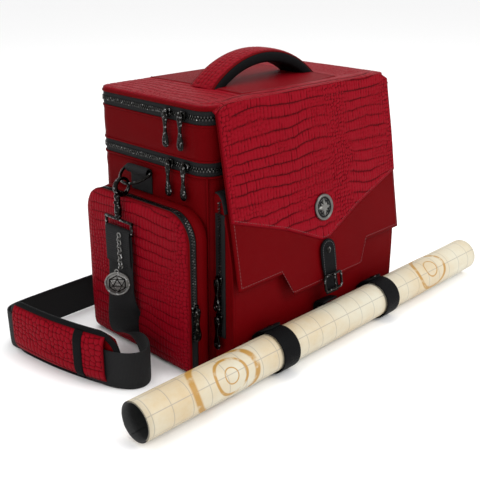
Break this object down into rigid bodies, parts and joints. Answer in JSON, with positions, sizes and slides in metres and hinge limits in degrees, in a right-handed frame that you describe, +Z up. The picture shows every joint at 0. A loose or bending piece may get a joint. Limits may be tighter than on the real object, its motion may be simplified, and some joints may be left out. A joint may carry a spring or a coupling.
{
  "type": "structured carry bag",
  "caption": "Structured two-deck zip-top bag with front flap, side pockets, arched handle, shoulder strap and a rolled game mat held across its front.",
  "frame": {"origin": "centre of the bag's bottom face, on the surface it stands on", "axes": "+X to the right along the front, front faces -Y, +Z up"},
  "size_m": [0.61, 0.3136, 0.34],
  "materials": {
    "embossed_leather": "embossed satin",
    "red_leather": "satin",
    "black_leather": "satin",
    "webbing": "woven",
    "lining": "woven",
    "zip_tape": "woven",
    "gunmetal": "polished dark nickel",
    "pewter": "cast pewter",
    "parchment": "matte print",
    "board": "covered board"
  },
  "bodies": {
    "lower_case": {"lower_shell": "red_leather", "base_board": "board", "lower_lining": "lining", "middle_zip_lower": "zip_tape", "front_pocket": "red_leather", "front_pocket_zip": "zip_tape", "left_pocket": "red_leather", "left_pocket_face": "embossed_leather", "left_pocket_zip": "zip_tape", "right_pocket": "red_leather", "right_pocket_face": "embossed_leather", "right_pocket_zip": "zip_tape", "ring_anchors": "black_leather", "closure_anchor": "black_leather", "anchor_rivet": "gunmetal", "mat_straps": "black_leather", "shoulder_strap": "webbing", "shoulder_pad": "webbing", "pad_cover": "embossed_leather", "pad_band": "black_leather", "strap_rings": "gunmetal"},
    "battle_mat": {"battle_mat": "parchment"},
    "mat_tab_left": {"mat_tab_left": "black_leather"},
    "mat_tab_right": {"mat_tab_right": "black_leather"},
    "left_ring": {"left_ring": "gunmetal"},
    "right_ring": {"right_ring": "gunmetal"},
    "left_clip": {"left_clip": "gunmetal"},
    "right_clip": {"right_clip": "gunmetal"},
    "charm": {"charm_chain": "pewter", "charm_disc": "pewter"},
    "upper_case": {"upper_shell": "red_leather", "upper_lining": "lining", "middle_zip_upper": "zip_tape", "top_zip_lower": "zip_tape"},
    "lid": {"lid_panel": "embossed_leather", "lid_saddle": "red_leather", "top_zip_upper": "zip_tape", "handle_core": "black_leather", "handle_cover": "embossed_leather"},
    "flap": {"flap_panel": "red_leather", "flap_overlay": "embossed_leather", "medallion": "gunmetal", "closure_tab": "black_leather", "tab_rivet": "gunmetal"},
    "buckle_frame": {"buckle_frame": "gunmetal"},
    "buckle_prong": {"buckle_prong": "gunmetal"},
    "top_slider_rear": {"top_slider_rear": "gunmetal"},
    "top_pull_rear": {"top_pull_rear": "gunmetal"},
    "top_slider_front": {"top_slider_front": "gunmetal"},
    "top_pull_front": {"top_pull_front": "gunmetal"},
    "middle_slider_rear": {"middle_slider_rear": "gunmetal"},
    "middle_pull_rear": {"middle_pull_rear": "gunmetal"},
    "middle_slider_front": {"middle_slider_front": "gunmetal"},
    "middle_pull_front": {"middle_pull_front": "gunmetal"},
    "left_slider": {"left_slider": "gunmetal"},
    "left_pull": {"left_pull": "gunmetal"},
    "right_slider": {"right_slider": "gunmetal"},
    "right_pull": {"right_pull": "gunmetal"},
    "front_slider": {"front_slider": "gunmetal"},
    "front_pull": {"front_pull": "gunmetal"}
  },
  "joints": [
    {"name": "upper_case_hinge", "type": "hinge", "parent": "lower_case", "child": "upper_case", "pos_m": [0, 0.095, 0.23475], "axis": [-1, 0, 0], "range_deg": [0, 95]},
    {"name": "lid_hinge", "type": "hinge", "parent": "upper_case", "child": "lid", "pos_m": [0, 0.095, 0.28975], "axis": [-1, 0, 0], "range_deg": [0, 100]},
    {"name": "flap_crease", "type": "hinge", "parent": "lid", "child": "flap", "pos_m": [0, -0.095, 0.3035], "axis": [-1, 0, 0], "range_deg": [0, 170]},
    {"name": "buckle_frame_hinge", "type": "hinge", "parent": "flap", "child": "buckle_frame", "pos_m": [0, -0.14273, 0.08482], "axis": [-1, 0, 0], "range_deg": [0, 90]},
    {"name": "buckle_prong_hinge", "type": "hinge", "parent": "buckle_frame", "child": "buckle_prong", "pos_m": [0, -0.14549, 0.08529], "axis": [-1, 0, 0], "range_deg": [0, 80]},
    {"name": "mat_slide", "type": "slide", "parent": "lower_case", "child": "battle_mat", "axis": [1, 0, 0], "range_m": [0, 0.45]},
    {"name": "mat_tab_left_lift", "type": "hinge", "parent": "lower_case", "child": "mat_tab_left", "pos_m": [-0.106, -0.12558, 0.03762], "axis": [-1, 0, 0], "range_deg": [0, 28]},
    {"name": "mat_tab_right_lift", "type": "hinge", "parent": "lower_case", "child": "mat_tab_right", "pos_m": [0.09, -0.12558, 0.03762], "axis": [-1, 0, 0], "range_deg": [0, 28]},
    {"name": "left_ring_hinge", "type": "hinge", "parent": "lower_case", "child": "left_ring", "pos_m": [-0.1655, 0.014, 0.217], "axis": [0, 1, 0], "range_deg": [0, 2.5]},
    {"name": "left_clip_swivel", "type": "hinge", "parent": "lower_case", "child": "left_clip", "pos_m": [-0.197, 0.014, 0.168], "axis": [0, 0, 1], "range_deg": [-6, 6]},
    {"name": "right_ring_hinge", "type": "hinge", "parent": "lower_case", "child": "right_ring", "pos_m": [0.1655, 0.014, 0.217], "axis": [0, -1, 0], "range_deg": [0, 2.5]},
    {"name": "right_clip_swivel", "type": "hinge", "parent": "lower_case", "child": "right_clip", "pos_m": [0.197, 0.014, 0.168], "axis": [0, 0, 1], "range_deg": [-6, 6]},
    {"name": "charm_swing", "type": "hinge", "parent": "lower_case", "child": "charm", "pos_m": [-0.203, 0.007, 0.152], "axis": [1, 0, 0], "range_deg": [-40, 40]},
    {"name": "top_slider_rear_slide", "type": "slide", "parent": "upper_case", "child": "top_slider_rear", "axis": [0, 1, 0], "range_m": [0, 0.1]},
    {"name": "top_slider_front_slide", "type": "slide", "parent": "upper_case", "child": "top_slider_front", "axis": [0, 1, 0], "range_m": [-0.008, 0.008]},
    {"name": "middle_slider_rear_slide", "type": "slide", "parent": "lower_case", "child": "middle_slider_rear", "axis": [0, 1, 0], "range_m": [0, 0.02]},
    {"name": "middle_slider_front_slide", "type": "slide", "parent": "lower_case", "child": "middle_slider_front", "axis": [0, 1, 0], "range_m": [-0.006, 0.008]},
    {"name": "left_slider_slide", "type": "slide", "parent": "lower_case", "child": "left_slider", "axis": [0, 0, 1], "range_m": [-0.03, 0.06]},
    {"name": "right_slider_slide", "type": "slide", "parent": "lower_case", "child": "right_slider", "axis": [0, 0, 1], "range_m": [-0.03, 0.06]},
    {"name": "front_slider_slide", "type": "slide", "parent": "lower_case", "child": "front_slider", "axis": [0, 0, 1], "range_m": [-0.05, 0.03]},
    {"name": "top_pull_rear_swing", "type": "hinge", "parent": "top_slider_rear", "child": "top_pull_rear", "pos_m": [-0.1653, -0.036, 0.28975], "axis": [0, 1, 0], "range_deg": [0, 150]},
    {"name": "top_pull_front_swing", "type": "hinge", "parent": "top_slider_front", "child": "top_pull_front", "pos_m": [-0.1653, -0.06, 0.28975], "axis": [0, 1, 0], "range_deg": [0, 150]},
    {"name": "middle_pull_rear_swing", "type": "hinge", "parent": "middle_slider_rear", "child": "middle_pull_rear", "pos_m": [-0.1653, -0.038, 0.23475], "axis": [0, 1, 0], "range_deg": [0, 150]},
    {"name": "middle_pull_front_swing", "type": "hinge", "parent": "middle_slider_front", "child": "middle_pull_front", "pos_m": [-0.1653, -0.063, 0.23475], "axis": [0, 1, 0], "range_deg": [0, 150]},
    {"name": "left_pull_swing", "type": "hinge", "parent": "left_slider", "child": "left_pull", "pos_m": [-0.1799, -0.0978, 0.082], "axis": [-1, 0, 0], "range_deg": [0, 150]},
    {"name": "right_pull_swing", "type": "hinge", "parent": "right_slider", "child": "right_pull", "pos_m": [0.1799, -0.0978, 0.082], "axis": [-1, 0, 0], "range_deg": [0, 150]},
    {"name": "front_pull_swing", "type": "hinge", "parent": "front_slider", "child": "front_pull", "pos_m": [-0.1569, -0.1045, 0.112], "axis": [0, 1, 0], "range_deg": [0, 150]}
  ]
}
